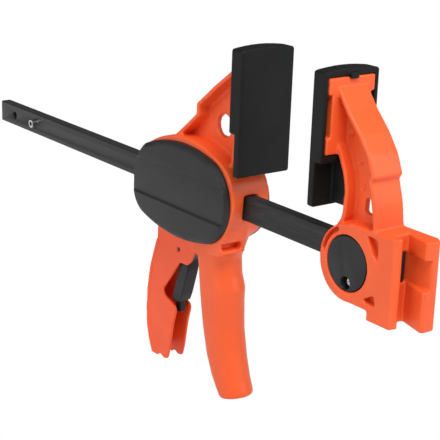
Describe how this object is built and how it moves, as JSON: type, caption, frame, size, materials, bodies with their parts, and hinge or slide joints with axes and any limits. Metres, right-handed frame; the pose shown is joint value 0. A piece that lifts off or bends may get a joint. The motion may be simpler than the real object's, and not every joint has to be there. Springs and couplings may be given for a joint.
{
  "type": "quick release bar clamp",
  "caption": "One-handed bar clamp: a squeeze trigger drives a sliding jaw along a flat steel bar to a fixed jaw, and a small lever lets it go.",
  "frame": {"origin": "middle of the fixed jaw's clamping face, at the height of the middle of the jaw's upper pad area, 52.5 mm above the bar's axis", "axes": "+X along the bar, out of the back of the fixed jaw, +Z from the bar up towards the jaws, -Y towards the side with the release button"},
  "size_m": [0.3938, 0.0338, 0.1972],
  "materials": {
    "orange_nylon": "satin",
    "pad_rubber": "matte",
    "cover_plastic": "satin",
    "dark_plastic": "satin",
    "blackened_steel": "satin",
    "bright_steel": "satin",
    "plain_steel": "satin",
    "spring_steel": "bright"
  },
  "bodies": {
    "bar_body": {"bar": "blackened_steel", "stop_pin": "bright_steel", "fixed_jaw": "orange_nylon", "fixed_pad": "pad_rubber", "button_spring": "spring_steel"},
    "button": {"lock_button": "dark_plastic", "rear_button": "dark_plastic", "button_screw": "bright_steel"},
    "carriage": {"housing": "orange_nylon", "near_cover": "cover_plastic", "far_cover": "cover_plastic", "cover_screws": "bright_steel", "moving_pad": "pad_rubber", "trigger_pin": "bright_steel", "lever_pin": "bright_steel", "drive_spring": "spring_steel", "brake_spring": "spring_steel"},
    "trigger": {"trigger": "orange_nylon"},
    "drive_plates": {"front_drive_plate": "plain_steel", "rear_drive_plate": "plain_steel"},
    "brake": {"brake_plate": "plain_steel"},
    "lever": {"release_lever": "dark_plastic"}
  },
  "joints": [
    {"name": "carriage_slide", "type": "slide", "parent": "bar_body", "child": "carriage", "axis": [1, 0, 0], "range_m": [-0.1317, 0.0528]},
    {"name": "trigger_pivot", "type": "hinge", "parent": "carriage", "child": "trigger", "pos_m": [-0.1179, 0, -0.0902], "axis": [0, -1, 0], "range_deg": [0, 16], "stiffness_Nm_per_rad": 0.9, "springref_deg": -8.59},
    {"name": "drive_slide", "type": "slide", "parent": "carriage", "child": "drive_plates", "axis": [-1, 0, 0], "range_m": [0, 0.0068], "deforming": ["drive_spring"]},
    {"name": "lever_pivot", "type": "hinge", "parent": "carriage", "child": "lever", "pos_m": [-0.1051, 0, -0.0667], "axis": [0, 1, 0], "range_deg": [0, 8], "stiffness_Nm_per_rad": 0.3, "springref_deg": -5.73},
    {"name": "brake_tilt", "type": "hinge", "parent": "carriage", "child": "brake", "pos_m": [-0.0966, 0, -0.0359], "axis": [0, 1, 0], "range_deg": [0, 1.51], "deforming": ["brake_spring"]},
    {"name": "button_slide", "type": "slide", "parent": "bar_body", "child": "button", "axis": [0, 1, 0], "range_m": [0, 0.0024], "stiffness_N_per_m": 800, "springref_m": -0.001, "deforming": ["button_spring"]}
  ],
  "couplings": [
    {"joint": "drive_slide", "follows": "trigger_pivot", "m_per_rad": 0.0243},
    {"joint": "brake_tilt", "follows": "lever_pivot", "ratio": 0.1875}
  ]
}
